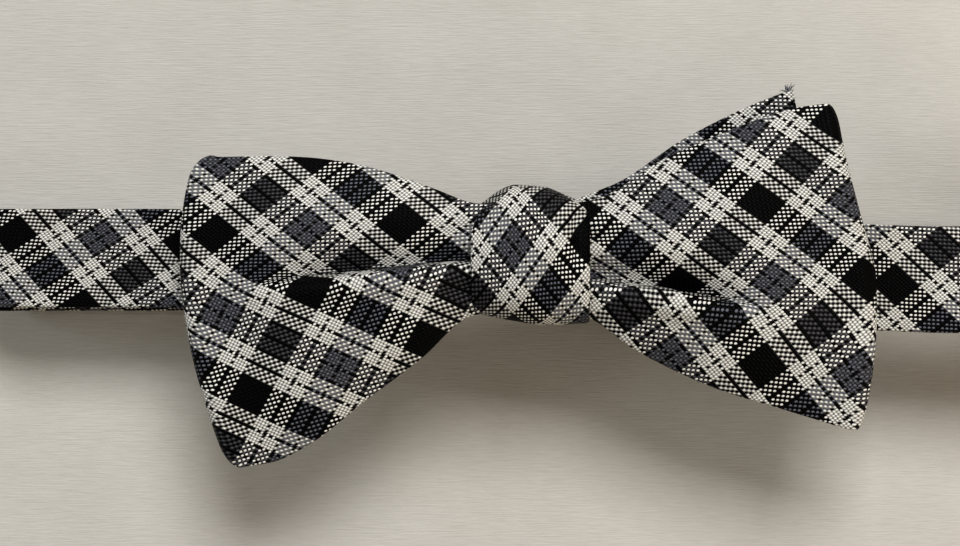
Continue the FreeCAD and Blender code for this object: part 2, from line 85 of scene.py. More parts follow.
def to_row(points):
    """Bow frame to row frame."""
    u, v, w = points[..., 0], points[..., 1], points[..., 2]
    x = u * math.cos(TILT) - w * math.sin(TILT)
    z = u * math.sin(TILT) + w * math.cos(TILT) + RUN_MIDDLE_Z
    return np.stack([x, v + BOW_Y, z], axis=-1)


# ------------------------------------------------------------------ curves


def smooth(x, start=0.0, end=1.0):
    t = np.clip((np.asarray(x, float) - start) / (end - start), 0, 1)
    return t * t * (3 - 2 * t)


def bump(x, centre, width):
    return np.exp(-(((np.asarray(x, float) - centre) / width) ** 2))


def spline(knots, values, x):
    """A smooth curve through a few points, with slopes that never overshoot."""
    knots, values, x = (np.asarray(item, float) for item in (knots, values, x))
    step = np.diff(knots)
    chord = np.diff(values) / step
    slope = np.zeros_like(values)
    same_way = chord[:-1] * chord[1:] > 0
    inner = 2 * chord[:-1] * chord[1:] / np.where(same_way, chord[:-1] + chord[1:], 1)
    slope[1:-1] = np.where(same_way, inner, 0)
    slope[0], slope[-1] = chord[0], chord[-1]
    index = np.clip(np.searchsorted(knots, x, side="right") - 1, 0, len(step) - 1)
    t = np.clip((x - knots[index]) / step[index], 0, 1)
    h = step[index]
    return (
        values[index] * (2 * t**3 - 3 * t**2 + 1)
        + slope[index] * h * (t**3 - 2 * t**2 + t)
        + values[index + 1] * (3 * t**2 - 2 * t**3)
        + slope[index + 1] * h * (t**3 - t**2)
    )


def unit(vectors):
    return vectors / np.maximum(np.linalg.norm(vectors, axis=-1, keepdims=True), 1e-12)


# ------------------------------------------------------------------ the cloth's pattern

STRIPE = 20  # threads from one pale stripe to the next; dark stripes lie between them
PALE_MIDDLE = 4.5


class Lay:
    """How the plaid lies on a piece: where two pale stripes cross, and the steps to the next
    crossing along each set of threads, in millimetres of the bow frame. Returns thread numbers."""

    def __init__(self, crossing, step_up, step_down, shift=(0, 0)):
        self.crossing = np.array(crossing)
        self.inverse = np.linalg.inv(np.array([step_up, step_down]).T)
        self.shift = np.array(shift) * STRIPE + PALE_MIDDLE

    def __call__(self, u, v):
        offset = np.stack([u - self.crossing[0], v - self.crossing[1]], axis=-1)
        return offset @ self.inverse.T * STRIPE + self.shift


def mixed(first, second, share):
    share = np.asarray(share)[..., None]
    return first * (1 - share) + second * share


RIGHT_UPPER = Lay((32.4, 8.8), (6.8, 7.2), (9.2, -6.6))
RIGHT_LOWER = Lay((36.4, 12.3), (9.0, 6.9), (7.2, -8.5))
LEFT_UPPER = Lay((-39.2, 11.3), (8.8, 7.0), (8.0, -6.1), (0, 1))
LEFT_LOWER = Lay((-46.2, 15.6), (5.5, 9.5), (10.3, -4.7), (0, 1))
KNOT_LAY = Lay((-2.7, 9.9), (6.2, -7.7), (6.5, 9.1), (1, 0))
BAND_LEFT = Lay((-71.3, 3.0), (9.8, 6.1), (6.1, -6.8))
BAND_RIGHT = Lay((65.7, 1.9), (8.0, 6.7), (8.0, -7.5), (1, 0))
REAR_LAY = Lay((39.1, 24.3), (7.4, 6.6), (8.6, -7.0), (1, 0))

# ------------------------------------------------------------------ sheets with thickness

RIM_STEPS = 6


def make_object(name, vertices, faces, uv, material):
    mesh = bpy.data.meshes.new(name)
    mesh.from_pydata([tuple(p) for p in np.asarray(vertices) * MM], [], faces)
    layer = mesh.uv_layers.new(name="threads")
    corner = np.zeros(len(mesh.loops), int)
    mesh.loops.foreach_get("vertex_index", corner)
    layer.data.foreach_set("uv", np.asarray(uv)[corner].ravel())
    mesh.polygons.foreach_set("use_smooth", [True] * len(mesh.polygons))
    mesh.validate()
    mesh.update()
    obj = bpy.data.objects.new(name, mesh)
    bpy.context.scene.collection.objects.link(obj)
    mesh.materials.append(material)
    return obj


def surface_normals(grid):
    along, across = np.gradient(grid, axis=(0, 1))
    return unit(np.cross(along, across)), unit(across)


def thick_sheet(name, grid, uv, thickness, material):
    """A closed solid round a grid of points: rows run along the cloth and columns across it.
    Its long edges are rounded, as cloth turned in over an interlining is."""
    rows, columns = grid.shape[:2]
    normal, across = surface_normals(grid)
    half = thickness / 2
    angles = np.linspace(math.pi / 2, -math.pi / 2, RIM_STEPS + 1)[1:-1]
    rings, ring_uv = [grid + normal * half], [uv]
    for edge, inner, sign in ((columns - 1, columns - 2, 1), (0, 1, -1)):
        turns = angles if sign > 0 else -angles
        outward = across[:, edge] * sign
        out_uv = (uv[:, edge] - uv[:, inner]) / np.linalg.norm(
            grid[:, edge] - grid[:, inner], axis=-1, keepdims=True
        )
        rim, rim_uv = [], []
        for angle in turns:
            reach = half * math.cos(angle)
            raised = normal[:, edge] * half * math.sin(angle)
            rim.append(grid[:, edge] + outward * reach + raised)
            rim_uv.append(uv[:, edge] + out_uv * reach)
        rim, rim_uv = np.stack(rim, 1), np.stack(rim_uv, 1)
        if sign > 0:
            rings += [rim, (grid - normal * half)[:, ::-1]]
            ring_uv += [rim_uv, uv[:, ::-1]]
        else:
            rings.append(rim)
            ring_uv.append(rim_uv)
    ring = np.concatenate(rings, axis=1)
    ring_uv = np.concatenate(ring_uv, axis=1)
    count = ring.shape[1]
    vertices = ring.reshape(-1, 3)
    faces = []
    for row in range(rows - 1):
        here, there = row * count, (row + 1) * count
        for column in range(count):
            after = (column + 1) % count
            faces.append((here + column, there + column, there + after, here + after))
    faces += end_caps(columns, count, rows)
    return make_object(name, vertices, faces, ring_uv.reshape(-1, 2), material)


def end_caps(columns, count, rows):
    """Closes the first and last cross-section: a strip of quads between its two faces."""
    rim = RIM_STEPS - 1
    last = (rows - 1) * count
    caps = []
    for column in range(columns - 1):
        top, under = column, 2 * columns + rim - 1 - column
        quad = (top, top + 1, under - 1, under)
        caps.append(quad)
        caps.append(tuple(last + index for index in reversed(quad)))
    right = list(range(columns - 1, columns + rim + 1))
    left = list(range(2 * columns + rim - 1, count)) + [0]
    for side in (right, left):
        caps.append(tuple(side))
        caps.append(tuple(last + index for index in reversed(side)))
    return caps


def cloth_piece(name, node, body, grid, uv, thickness):
    """The silk of a strip and the interlining sealed inside it, for the two CAD nodes."""
    silk = thick_sheet(name, grid, uv, thickness, WEAVE)
    canvas = thick_sheet(
        name + "_canvas", grid[1:-1, 1:-1], uv[1:-1, 1:-1], thickness * CANVAS_SHARE, CANVAS_CLOTH
    )
    both = ((silk, "_shell", SILK, 0), (canvas, "_interlining", CANVAS, CANVAS_MARGIN))
    for piece, suffix, slot, margin in both:
        if body:
            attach(piece, body)
        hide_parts(node + suffix)
    return silk, canvas


# ------------------------------------------------------------------ materials


class Shader:
    """Short names for the node work that every material here needs."""

    def __init__(self, name):
        self.material = bpy.data.materials.new(name)
        self.material.use_nodes = True
        self.tree = self.material.node_tree
        self.surface = self.tree.nodes["Principled BSDF"]

    def put(self, socket, value):
        if isinstance(value, bpy.types.NodeSocket):
            self.tree.links.new(value, socket)
        else:
            socket.default_value = value

    def node(self, kind, values=(), **settings):
        node = self.tree.nodes.new(kind)
        for key, value in settings.items():
            setattr(node, key, value)
        for key, value in dict(values).items():
            self.put(node.inputs[key], value)
        return node

    def math(self, operation, first, second=0.0, third=0.0):
        node = self.node("ShaderNodeMath", operation=operation)
        for index, value in enumerate((first, second, third)):
            if index < len(node.inputs):
                self.put(node.inputs[index], value)
        return node.outputs[0]

    def mix(self, share, first, second, blend="MIX"):
        node = self.node("ShaderNodeMix", data_type="RGBA", blend_type=blend)
        self.put(node.inputs[0], share)
        self.put(node.inputs[6], first)
        self.put(node.inputs[7], second)
        return node.outputs[2]

    def mix_value(self, share, first, second):
        node = self.node("ShaderNodeMix", data_type="FLOAT")
        self.put(node.inputs[0], share)
        self.put(node.inputs[2], first)
        self.put(node.inputs[3], second)
        return node.outputs[0]

    def ramp(self, value, stops):
        """Bands of plain colour, each from its own position on."""
        node = self.node("ShaderNodeValToRGB")
        node.color_ramp.interpolation = "CONSTANT"
        elements = node.color_ramp.elements
        elements[0].position, elements[0].color = stops[0][0], (*stops[0][1], 1)
        elements[1].position, elements[1].color = stops[1][0], (*stops[1][1], 1)
        for position, colour in stops[2:]:
            elements.new(position).color = (*colour, 1)
        self.put(node.inputs[0], value)
        return node.outputs[0]

    def noise(self, place, scale=1.0, detail=2.0, **more):
        values = {"Vector": place, "Scale": scale, "Detail": detail, **more}
        return self.node("ShaderNodeTexNoise", values).outputs["Fac"]

    def stretched(self, place, scale):
        return self.node("ShaderNodeMapping", {"Vector": place, "Scale": scale}).outputs[0]

    def bumped(self, height, strength, distance):
        values = {"Strength": strength, "Distance": distance, "Height": height}
        node = self.node("ShaderNodeBump", values)
        self.put(self.surface.inputs["Normal"], node.outputs[0])

    def finish(self, colour=None, **values):
        if colour is not None:
            self.put(self.surface.inputs["Base Color"], colour)
        for key, value in values.items():
            self.put(self.surface.inputs[key.replace("_", " ")], value)
        return self.material


def linear(red, green, blue):
    """An sRGB colour in 0 to 255, as linear light."""
    channels = [c / 255 for c in (red, green, blue)]
    return tuple(c / 12.92 if c <= 0.04045 else ((c + 0.055) / 1.055) ** 2.4 for c in channels)


IVORY = linear(244, 242, 235)
BLACK = linear(3, 3, 4)
CHARCOAL = linear(95, 94, 97)
BLUE_GREY = linear(118, 120, 128)

# threads of one repeat, as (first thread, colour name): ivory stripe, black square, ivory stripe,
# grey square, each pale stripe split by one black thread
REPEAT = 40
SEQUENCE = (
    (0, "ivory"), (4, "black"), (5, "ivory"), (9, "black"), (20, "ivory"), (24, "black"),
    (25, "ivory"), (29, "black"), (30, "grey"), (34, "black"), (35, "grey"), (39, "black"),
)


def thread_colour(shader, number, grey):
    """The colour of a thread from its number."""
    place = shader.math("DIVIDE", shader.math("FLOORED_MODULO", number, REPEAT), REPEAT)
    middle = shader.math("ADD", place, 0.5 / REPEAT)
    colours = {"ivory": IVORY, "black": BLACK, "grey": grey}
    return shader.ramp(middle, [(first / REPEAT, colours[name]) for first, name in SEQUENCE])


def weave_material():
    """Plain-woven plaid silk. The UV map counts threads: u across one set and v across the other.
    The first set is the closer and fuller one, so its floats nearly cover the cloth, and the
    second set shows between them as small ovals."""
    s = Shader("plaid_silk")
    place = s.node("ShaderNodeUVMap", uv_map="threads").outputs[0]
    axes = s.node("ShaderNodeSeparateXYZ", {"Vector": place}).outputs
    number = [s.math("FLOOR", axes[index]) for index in (0, 1)]
    offset = [s.math("MULTIPLY_ADD", s.math("FRACT", axes[index]), 2.0, -1.0) for index in (0, 1)]
    parity = s.math("FLOORED_MODULO", s.math("ADD", number[0], number[1]), 2.0)
    first_on_top = s.math("LESS_THAN", parity, 0.5)

    # squared distance from the middle of the float, with the slant that the yarn's twist gives it
    square = [s.math("MULTIPLY", part, part) for part in offset]
    slant = s.math("MULTIPLY", offset[0], offset[1])
    full = s.math("MULTIPLY_ADD", square[0], 0.72, s.math("MULTIPLY", square[1], 0.66))
    full = s.math("SUBTRACT", full, s.math("MULTIPLY", slant, 0.3))
    small = s.math("MULTIPLY_ADD", square[0], 0.95, s.math("MULTIPLY", square[1], 1.25))
    small = s.math("SUBTRACT", small, s.math("MULTIPLY", slant, 0.55))
    rim = {"Value": small, "From Min": 0.75, "From Max": 1.2, "To Min": 1.0, "To Max": 0.0}
    oval = s.node("ShaderNodeMapRange", rim, interpolation_type="SMOOTHSTEP").outputs[0]
    first_shows = s.math("MAXIMUM", first_on_top, s.math("SUBTRACT", 1.0, oval))

    full_height = s.math("SUBTRACT", 1.0, full)
    small_crown = s.math("SUBTRACT", 1.0, s.math("MULTIPLY", small, 0.45))
    small_height = s.math("MULTIPLY", oval, small_crown)
    between = s.math("SUBTRACT", 0.42, s.math("MULTIPLY", square[0], 0.1))
    height = s.mix_value(first_on_top, s.math("MAXIMUM", small_height, between), full_height)

    colour = s.mix(
        first_shows, thread_colour(s, number[1], BLUE_GREY), thread_colour(s, number[0], CHARCOAL)
    )
    shown = s.mix_value(first_on_top, number[1], s.math("ADD", number[0], 0.37))
    uneven = s.node("ShaderNodeTexWhiteNoise", {"W": shown}, noise_dimensions="1D").outputs["Value"]
    slub = s.node(
        "ShaderNodeTexNoise", {"Vector": place, "Scale": 0.35, "Detail": 3.0}, noise_dimensions="2D"
    ).outputs["Fac"]
    level = s.math("MULTIPLY_ADD", uneven, 0.14, 0.86)
    level = s.math("MULTIPLY", level, s.math("MULTIPLY_ADD", slub, 0.34, 0.85))
    # painted shade and highlight: the colour darkens towards the gaps between floats and is
    # brightest on each float's crown, on top of each thread's own uneven tone and slubs
    painted_float_shade = s.math("POWER", s.math("MAXIMUM", height, 0.0), 1.35)
    level = s.math("MULTIPLY", level, s.math("MULTIPLY_ADD", painted_float_shade, 0.87, 0.13))
    tone_and_painted_shade = s.node("ShaderNodeCombineColor", {"Red": level, "Green": level, "Blue": level})
    colour = s.mix(1.0, colour, tone_and_painted_shade.outputs[0], "MULTIPLY")

    fibre_axis = s.mix_value(first_on_top, axes[1], axes[0])
    fibre = s.node(
        "ShaderNodeTexNoise", {"W": s.math("MULTIPLY", fibre_axis, 7.0), "Detail": 1.0},
        noise_dimensions="1D",
    ).outputs["Fac"]
    s.bumped(s.math("MULTIPLY_ADD", fibre, 0.1, height), 0.9, 0.00016)
    roughness = s.math("MULTIPLY_ADD", uneven, 0.08, 0.4)
    return s.finish(colour, Roughness=roughness, Specular_IOR_Level=0.13)


def canvas_material():
    """Undyed interlining: an open, matt plain weave."""
    s = Shader("interlining_canvas")
    place = s.node("ShaderNodeTexCoord").outputs["Object"]
    thread = {"Vector": place, "Scale": 620.0}
    wave = [
        s.node("ShaderNodeTexWave", thread, bands_direction=axis).outputs["Fac"] for axis in "XY"
    ]
    height = s.math("MULTIPLY", wave[0], wave[1])
    # painted shade: lighter where the threads cross and darker in the gaps between them
    colour = s.mix(height, (0.52, 0.49, 0.42, 1), (0.8, 0.77, 0.69, 1))
    s.bumped(height, 0.5, 0.0001)
    return s.finish(colour, Roughness=0.9, Specular_IOR_Level=0.2)


def metal_material():
    """Satin nickel plate on stamped and drawn steel, with fine drag marks."""
    s = Shader("plated_metal")
    place = s.node("ShaderNodeTexCoord").outputs["Object"]
    drag = s.noise(s.stretched(place, (400, 6000, 3000)))
    cloud = s.noise(place, 260.0, 4.0)
    colour = s.mix(cloud, (0.4, 0.385, 0.36, 1), (0.56, 0.545, 0.515, 1))
    s.bumped(s.math("ADD", drag, cloud), 0.12, 0.00005)
    roughness = s.math("MULTIPLY_ADD", drag, 0.16, 0.27)
    return s.finish(colour, Metallic=1.0, Roughness=roughness)


def thread_material(name, dark, pale):
    """Spun thread: two plies twisted together."""
    s = Shader(name)
    place = s.node("ShaderNodeUVMap", uv_map="threads").outputs[0]
    axes = s.node("ShaderNodeSeparateXYZ", {"Vector": place}).outputs
    along, around = s.math("MULTIPLY", axes[0], 2.2), s.math("MULTIPLY", axes[1], 2.0)
    twist = s.math("FRACT", s.math("ADD", along, around))
    round_ply = s.math("SINE", s.math("MULTIPLY", twist, math.pi))
    # painted shade: lighter along the middle of each ply and darker in the grooves between plies
    colour = s.mix(round_ply, (dark, dark, dark * 1.1, 1), (pale, pale, pale * 1.1, 1))
    s.bumped(round_ply, 0.8, 0.0001)
    return s.finish(colour, Roughness=0.62, Sheen_Weight=0.25)


def label_material():
    """A blank satin-woven label with a woven border line."""
    s = Shader("label_cloth")
    place = s.node("ShaderNodeUVMap", uv_map="threads").outputs[0]
    axes = s.node("ShaderNodeSeparateXYZ", {"Vector": place}).outputs
    rib = s.math("FRACT", s.math("MULTIPLY", axes[1], 4.0))
    slanted = s.math("MULTIPLY_ADD", axes[0], 1.6, s.math("MULTIPLY", axes[1], 0.8))
    float_line = s.math("FRACT", slanted)
    height = s.math("MULTIPLY", s.math("PINGPONG", rib, 0.5), s.math("PINGPONG", float_line, 0.5))
    edge_x = s.math("ABSOLUTE", axes[0])
    edge_y = s.math("ABSOLUTE", axes[1])
    line_x = s.math("COMPARE", edge_x, LABEL_LONG / 2 - 2.3, 0.1)
    line_y = s.math("COMPARE", edge_y, LABEL_WIDE / 2 - 1.2, 0.1)
    inside_x = s.math("LESS_THAN", edge_x, LABEL_LONG / 2 - 2.1)
    inside_y = s.math("LESS_THAN", edge_y, LABEL_WIDE / 2 - 1.0)
    ends, sides = s.math("MULTIPLY", line_x, inside_y), s.math("MULTIPLY", line_y, inside_x)
    border = s.math("MAXIMUM", ends, sides)
    # painted shade: lighter on the raised floats and darker in the hollows between them
    plain = s.mix(height, (0.6, 0.57, 0.5, 1), (0.82, 0.79, 0.72, 1))
    colour = s.mix(border, plain, (0.3, 0.29, 0.27, 1))
    s.bumped(height, 0.6, 0.00008)
    return s.finish(colour, Roughness=0.5, Sheen_Weight=0.2)


def floor_material():
    """Pale, finely woven cloth with faint slubs along X and soft slanting wrinkles."""
    s = Shader("pale_surface")
    place = s.node("ShaderNodeTexCoord").outputs["Object"]
    scales = ((260, 3000, 1), (110, 6000, 1), (3000, 3600, 1))
    grains = [s.noise(s.stretched(place, scale)) for scale in scales]
    cloud = s.noise(place, 55.0, 3.0)
    grain = s.math("MULTIPLY_ADD", grains[1], 0.3, s.math("MULTIPLY", grains[0], 0.35))
    finest = s.math("MULTIPLY_ADD", cloud, 0.25, s.math("MULTIPLY", grains[2], 0.1))
    grain = s.math("ADD", grain, finest)
    share = s.math("MULTIPLY_ADD", grain, 2.3, -0.65)
    colour = s.mix(share, (*FLOOR_DARK, 1), (*FLOOR_PALE, 1))
    slanted = {"Vector": place, "Rotation": (0, 0, 0.5), "Scale": (9, 34, 1)}
    turned = s.node("ShaderNodeMapping", slanted).outputs[0]
    wrinkle = s.noise(turned, detail=3.0, Distortion=0.8)
    s.bumped(s.math("MULTIPLY_ADD", wrinkle, 2.4, grain), 0.4, 0.0006)
    return s.finish(colour, Roughness=0.85, Specular_IOR_Level=0.15)


FLOOR_DARK = linear(184, 181, 174)
FLOOR_PALE = linear(202, 199, 193)
LABEL_LONG = (high("care_label") - low("care_label"))[0]
LABEL_WIDE = (high("care_label") - low("care_label"))[1]
WEAVE = weave_material()
CANVAS_CLOTH = canvas_material()
NICKEL = metal_material()
SEWING = thread_material("sewing_thread", 0.006, 0.045)
LOOSE = thread_material("loose_silk_thread", 0.05, 0.32)
LABEL_CLOTH = label_material()

# ------------------------------------------------------------------ bow: front loop

REAR_W = 2.0  # middle of the flat rear piece, above the neckband's middle
BACK_W = 3.3  # middle of the loop's back layer
EDGE = CLOTH_THICK / 2
KNOT_EDGE_U = 10.5
PRESSED = 0.78  # half the end fold's height where its corners are pressed
PUFFED = 1.5  # what the middle of the fold has more
FOLD_REACH = 1.05  # how far the fold sticks out, for its half height
FOLD_ROUND = 1.1  # cloth taken up going round the fold, for its half height and angle
CORNER_START, CORNER_SHARE = 0.86, 0.14  # the part of half an end that a rounded corner takes
LOWER_LIP, UPPER_LIP = -3.2, 4.5  # the edges of the two lobes, measured from the crease

# A wing's upper and lower edges are curves through (u, v). Its end bulges, most where end_lean
# says, between two rounded corners. The crease runs out from the knot, starting at crease_v, and
# fades between the two values of u in crease_fade. Below it the lower lobe stands up as a ridge,
# and hangs over the crease round overhang_at (u, width). u is counted outwards on both wings.
RIGHT_WING = {
    "side": 1,
    "top_u": (0, 11, 24.6, 34.5, 44.3, 49.8, 54.6),
    "top_v": (8.4, 9.9, 17.5, 21.6, 25.1, 26.5, 27.1),
    "low_u": (0, 10.3, 19, 33.8, 46, 59.0),
    "low_v": (-8.8, -11.1, -17, -23.8, -27.4, -31.1),
    "end_bulge": 4.5,
    "end_lean": ((-1, 0, 0.33, 0.77, 1), (1, 0.95, 0.6, 0.24, 0.1)),
    "corners": (0.5, 1.2),
    "crease_v": -4.0,
    "crease_slope": -0.16,
    "crease_depth": 4.8,
    "crease_fade": (29, 43),
    "ridge": 1.2,
    "overhang": 0.9,
    "overhang_at": (24.5, 6.0),
    "lays": (RIGHT_UPPER, RIGHT_LOWER),
}
LEFT_WING = {
    "side": -1,
    "top_u": (0, 10.1, 17.2, 25.2, 32.5, 42.9, 51.4, 61.0),
    "top_v": (8.4, 9.4, 11.9, 14.7, 16.6, 17.9, 18.2, 18.2),
    "low_u": (0, 10.9, 20.2, 30.2, 41.1, 49.2, 55.0),
    "low_v": (-8.8, -10.9, -18.7, -25.9, -33.8, -37.4, -38.3),
    "end_bulge": 4.5,
    "end_lean": ((-1, 1), (0.8, 1.2)),
    "corners": (1.8, 2.7),
    "crease_v": -1.0,
    "crease_slope": -0.1,
    "crease_depth": 3.4,
    "crease_fade": (36, 53),
    "ridge": 0.7,
    "overhang": 0.5,
    "overhang_at": (20.0, 12.0),
    "lays": (LEFT_UPPER, LEFT_LOWER),
}
FRONT_ROWS, FOLD_ROWS, BACK_ROWS, COLUMNS = 84, 12, 26, 116


def fold_height(t):
    """Half the height of the end fold: full in the middle, pressed nearly flat at the corners."""
    return PRESSED + PUFFED * (1 - np.abs(t) ** 2.6)


def wing_plan(wing, s, t):
    """Where a point of a wing lies in the bow's plane, before its height."""
    inset = 0.9 + fold_height(t) * FOLD_REACH
    top_u = s * wing["top_u"][-1]
    low_u = s * wing["low_u"][-1]
    top_v = spline(wing["top_u"], wing["top_v"], top_u) - EDGE
    low_v = spline(wing["low_u"], wing["low_v"], low_u) + EDGE
    share = (t + 1) / 2
    bulge = wing["end_bulge"] * (1 - t**2) * np.interp(t, *wing["end_lean"])
    into_corner = ((-t - CORNER_START) / CORNER_SHARE, (t - CORNER_START) / CORNER_SHARE)
    for radius, into in zip(wing["corners"], into_corner):
        bulge = bulge - radius * (1 - np.sqrt(1 - 0.98 * np.clip(into, 0, 1) ** 2))
    u = low_u + (top_u - low_u) * share + (bulge - inset) * s**3
    v = low_v + (top_v - low_v) * share
    return u, v


def front_height(wing, s, t, u, v):
    """Height of the puffed front layer, with the crease that runs out from the knot."""
    edge = spline((0, 0.2, 0.45, 0.8, 1), (7.6, 6.9, 5.9, 5.2, BACK_W + 2 * PRESSED), s)
    full = BACK_W + 2 * fold_height(t)
    crown = spline((0, 0.17, 0.45, 0.75, 1), (0.9, 2.4, 4.9, 4.7, 3.0), s)
    dome = edge + crown * (1 - np.abs(t) ** 2.3)
    height = dome + (full - dome) * smooth(s, 0.72, 1.0)
    from_crease = v - (wing["crease_v"] + wing["crease_slope"] * (u - KNOT_EDGE_U))
    fade = (1 - smooth(u, *wing["crease_fade"])) * (0.55 + 0.45 * smooth(u, 9, 20))
    above = np.exp(-((np.maximum(from_crease, 0) / 5.0) ** 1.5))
    below = np.exp(-((np.minimum(from_crease, 0) / 0.85) ** 2))
    valley = np.where(from_crease > 0, above, below)
    height = height - wing["crease_depth"] * fade * valley
    height = height + wing["ridge"] * fade * bump(from_crease, -2.6, 2.1)
    tucked = wing["overhang"] * fade * bump(u, *wing["overhang_at"]) * bump(from_crease, -1.4, 1.0)
    gathers = np.exp(-np.maximum(u - KNOT_EDGE_U, 0) / 5.0) * smooth(u, 7, 12)
    height = height + 0.34 * gathers * np.sin(v * 1.25 + 0.9 * wing["side"])
    loose = smooth(s, 0.2, 0.5) * (1 - smooth(s, 0.85, 1))
    height = height + 0.3 * loose * np.sin(u / 7.5 + v / 9 + wing["side"]) * np.cos(v / 8 - u / 14)
    return height, tucked, from_crease


def hidden_length(front, u, v, from_crease):
    """Cloth that runs down into the crease, measured from each lobe's edge, where a view from
    the front shows none of it. It keeps the threads one size on the steep parts."""
    laid = np.hypot(np.diff(u, axis=1), np.diff(v, axis=1))
    extra = np.linalg.norm(np.diff(front, axis=1), axis=-1) - laid
    extra = np.concatenate([np.zeros((len(front), 1)), np.cumsum(extra, axis=1)], axis=1)
    rows = np.arange(len(front))[:, None]
    lower_edge = np.argmin(np.abs(from_crease - LOWER_LIP), axis=1)[:, None]
    upper_edge = np.argmin(np.abs(from_crease - UPPER_LIP), axis=1)[:, None]
    above = np.where(from_crease > LOWER_LIP, extra - extra[rows, lower_edge], 0)
    below = np.where(from_crease < UPPER_LIP, extra[rows, upper_edge] - extra, 0)
    return above, below


def lower_share(wing, u, from_crease):
    """The plaid runs a little differently on a wing's two lobes; 1 is wholly the lower one's."""
    spread = 0.3 + 21 * smooth(u, wing["crease_fade"][0] + 2, wing["crease_fade"][1] + 8)
    return smooth(-from_crease / spread, -0.5, 0.5)


def front_lay(wing, u, v, from_crease, hidden):
    """Thread numbers on a wing's front."""
    upper = wing["lays"][0](wing["side"] * u, v - hidden[1])
    lower = wing["lays"][1](wing["side"] * u, v + hidden[0])
    return mixed(upper, lower, lower_share(wing, u, from_crease))


def back_lay(wing, u, v, end_u, end_v, from_crease, kept=1.0):
    """Thread numbers past a wing's end, where the cloth runs on over the fold and in again.
    kept is how much of the lower lobe's bend is left, which eases out towards the waist."""
    upper, lower = (lay(wing["side"] * end_u, end_v) for lay in wing["lays"])
    bend = (lower - upper) * lower_share(wing, end_u, from_crease)[..., None]
    return wing["lays"][0](wing["side"] * u, v) + bend * np.asarray(kept)[..., None]


def wing_grid(wing):
    """Half of the loop: front layer from the middle out, end fold, and back layer in again."""
    even = np.linspace(-1, 1, COLUMNS)[None, :]
    t = 0.6 * even + 0.4 * np.sin(even * math.pi / 2)
    s = smooth(np.linspace(0, 1, FRONT_ROWS) ** 0.9)[:, None] * 0.35
    s = s + np.linspace(0, 1, FRONT_ROWS)[:, None] * 0.65
    u, v = wing_plan(wing, s, t)
    w, tucked, from_crease = front_height(wing, s, t, u, v)
    front = np.stack(np.broadcast_arrays(u, v + tucked, w), -1)
    fading = 1 - smooth(s, 0.8, 1)
    hidden = [length * fading for length in hidden_length(front, u, v, from_crease)]
    front_uv = front_lay(wing, u, v, from_crease, hidden)

    end_u, end_v = u[-1], v[-1]
    half = fold_height(t[0])
    reach = half * FOLD_REACH + 0.3
    turn = np.linspace(math.pi / 2, -math.pi / 2, FOLD_ROWS + 2)[1:-1, None]
    fold_u = end_u + reach * np.cos(turn)
    fold = np.stack(np.broadcast_arrays(fold_u, end_v, BACK_W + half + half * np.sin(turn)), -1)
    turned = (math.pi / 2 - turn) * half * FOLD_ROUND
    past_end = (end_u, end_v, from_crease[-1])
    fold_uv = back_lay(wing, end_u + turned, np.broadcast_to(end_v, fold_u.shape), *past_end)

    back_s = np.linspace(1, 0.004, BACK_ROWS)[:, None]
    back_u, back_v = wing_plan(wing, back_s, t)
    flat = np.full_like(back_u, BACK_W)
    back = np.stack([back_u, back_v, flat], -1)
    unrolled = end_u + math.pi * half * FOLD_ROUND + (end_u - back_u)
    back_uv = back_lay(wing, unrolled, back_v, *past_end, kept=smooth(back_s, 0.3, 1.0))
    grid = np.concatenate([front, fold, back])
    grid[..., 0] *= wing["side"]
    return grid, np.concatenate([front_uv, fold_uv, back_uv])


def make_front_bow():
    right, right_uv = wing_grid(RIGHT_WING)
    left, left_uv = wing_grid(LEFT_WING)
    grid = to_row(np.concatenate([right[::-1], left[1:]]))
    uv = np.concatenate([right_uv[::-1], left_uv[1:]])
    cloth_piece("front_bow", "front_bow", "bow", grid, uv, CLOTH_THICK)


# ------------------------------------------------------------------ bow: rear piece

REAR_TOP = (
    (-55, -40, -20, 0, 14.8, 27.4, 38.8, 47.0),
    (11.5, 12.5, 10.5, 8.6, 12.8, 20.9, 26.7, 29.9),
)
REAR_LOW = ((-48, -30, -12, 0, 12, 30, 44, 57.5), (-32, -22, -10, -8.6, -10, -15.5, -18.5, -20))
REAR_ROWS, REAR_COLUMNS = 110, 40
REAR_LIFT = 0.9  # how far its visible corner stands up


def make_rear_bow():
    s = np.linspace(0, 1, REAR_ROWS)[:, None]
    t = np.linspace(-1, 1, REAR_COLUMNS)[None, :]
    top_u = REAR_TOP[0][0] + s * (REAR_TOP[0][-1] - REAR_TOP[0][0])
    low_u = REAR_LOW[0][0] + s * (REAR_LOW[0][-1] - REAR_LOW[0][0])
    top_v = spline(*REAR_TOP, top_u) - EDGE
    low_v = spline(*REAR_LOW, low_u) + EDGE
    share = (t + 1) / 2
    u = low_u + (top_u - low_u) * share
    v = low_v + (top_v - low_v) * share
    w = REAR_W + REAR_LIFT * smooth(u, 34, 50) * smooth(v, 20, 30)
    grid = np.stack(np.broadcast_arrays(u, v, w), -1)
    cloth_piece("rear_bow", "rear_bow", "bow", to_row(grid), REAR_LAY(u, v), CLOTH_THICK)


# ------------------------------------------------------------------ knot

KNOT_U = (-9.9, -8.4, -5.2, -3.4, 2.5, 5, 8, 9.9)
KNOT_TOP = (9.2, 9.9, 12.1, 12.7, 12.3, 11.5, 10.2, 9.5)
KNOT_LOW = (-10.2, -10.6, -11.3, -11.6, -12.4, -12.4, -12.2, -12.1)
KNOT_ROWS, KNOT_COLUMNS = 150, 60
KNOT_SLIT = 0.035  # half the angle left open between its two ends, at the back
KNOT_BACK_W = -BAND_THICK / 2 - 0.3  # its inner face behind the neckband


def power(value, exponent):
    """A power that keeps the sign, which squares off a circle's sine and cosine."""
    return np.sign(value) * np.abs(value) ** exponent


